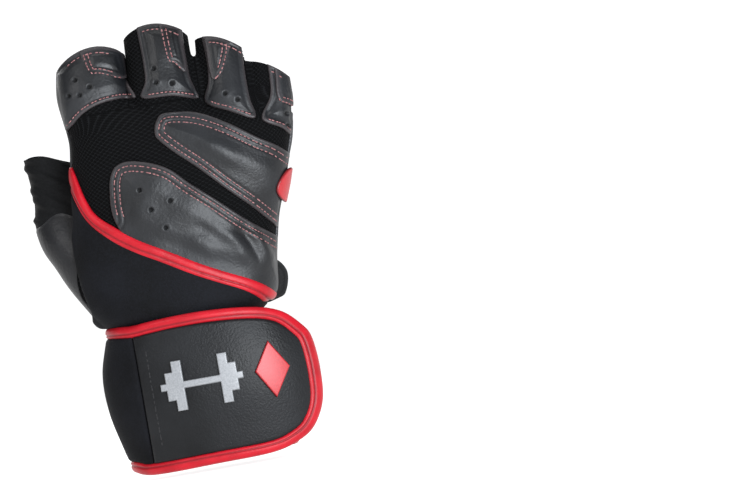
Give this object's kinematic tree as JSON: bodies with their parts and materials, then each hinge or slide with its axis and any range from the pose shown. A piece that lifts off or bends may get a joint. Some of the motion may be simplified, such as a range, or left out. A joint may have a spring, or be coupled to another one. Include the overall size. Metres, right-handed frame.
{
  "type": "weightlifting glove",
  "caption": "Fingerless weightlifting glove for the right hand, with perforated leather panels, palm pads, open finger stalls and a strapped neoprene wrist wrap.",
  "frame": {"origin": "centre of the wrist opening, at the cuff's lower edge", "axes": "+Z from the wrist to the fingers, -Y out of the back of the hand, +Y out of the palm, +X towards the little finger"},
  "size_m": [0.1279, 0.0827, 0.1998],
  "materials": {
    "stretch_mesh": "matt",
    "leather": "soft sheen",
    "palm_leather": "soft sheen",
    "neoprene": "matt",
    "binding": "satin",
    "pad": "satin",
    "badge_rubber": "satin",
    "red_rubber": "satin",
    "hook_and_loop": "matt"
  },
  "bodies": {
    "root": {"back_mesh": "stretch_mesh", "palm_leather": "palm_leather", "finger_top_index": "leather", "finger_top_middle": "leather", "finger_top_ring": "leather", "finger_top_little": "leather", "finger_patch_index": "leather", "finger_patch_middle": "leather", "finger_patch_ring": "leather", "finger_patch_little": "leather", "back_binding": "binding", "knuckle_panel_lower": "leather", "knuckle_panel_upper": "leather", "wrist_gusset": "neoprene", "edge_chevron": "red_rubber", "palm_overlay": "palm_leather", "heel_pad": "pad", "oval_pad": "pad", "band_pad": "pad", "notched_pad": "pad", "crescent_pad": "pad", "tab_pad": "pad", "oval_finger_pad": "pad", "finger_pad_index": "pad", "finger_pad_middle": "pad", "finger_pad_ring": "pad", "pull_tab": "stretch_mesh", "thumb_leather": "leather", "thumb_stretch": "stretch_mesh", "thumb_strip": "leather", "cuff_wrap": "neoprene", "cuff_binding_top": "binding", "cuff_binding_bottom": "binding", "strap_neoprene": "neoprene", "strap_panel": "leather", "strap_binding": "binding", "strap_fastener": "hook_and_loop", "badge_barbell": "badge_rubber", "badge_diamond": "red_rubber"}
  },
  "joints": []
}
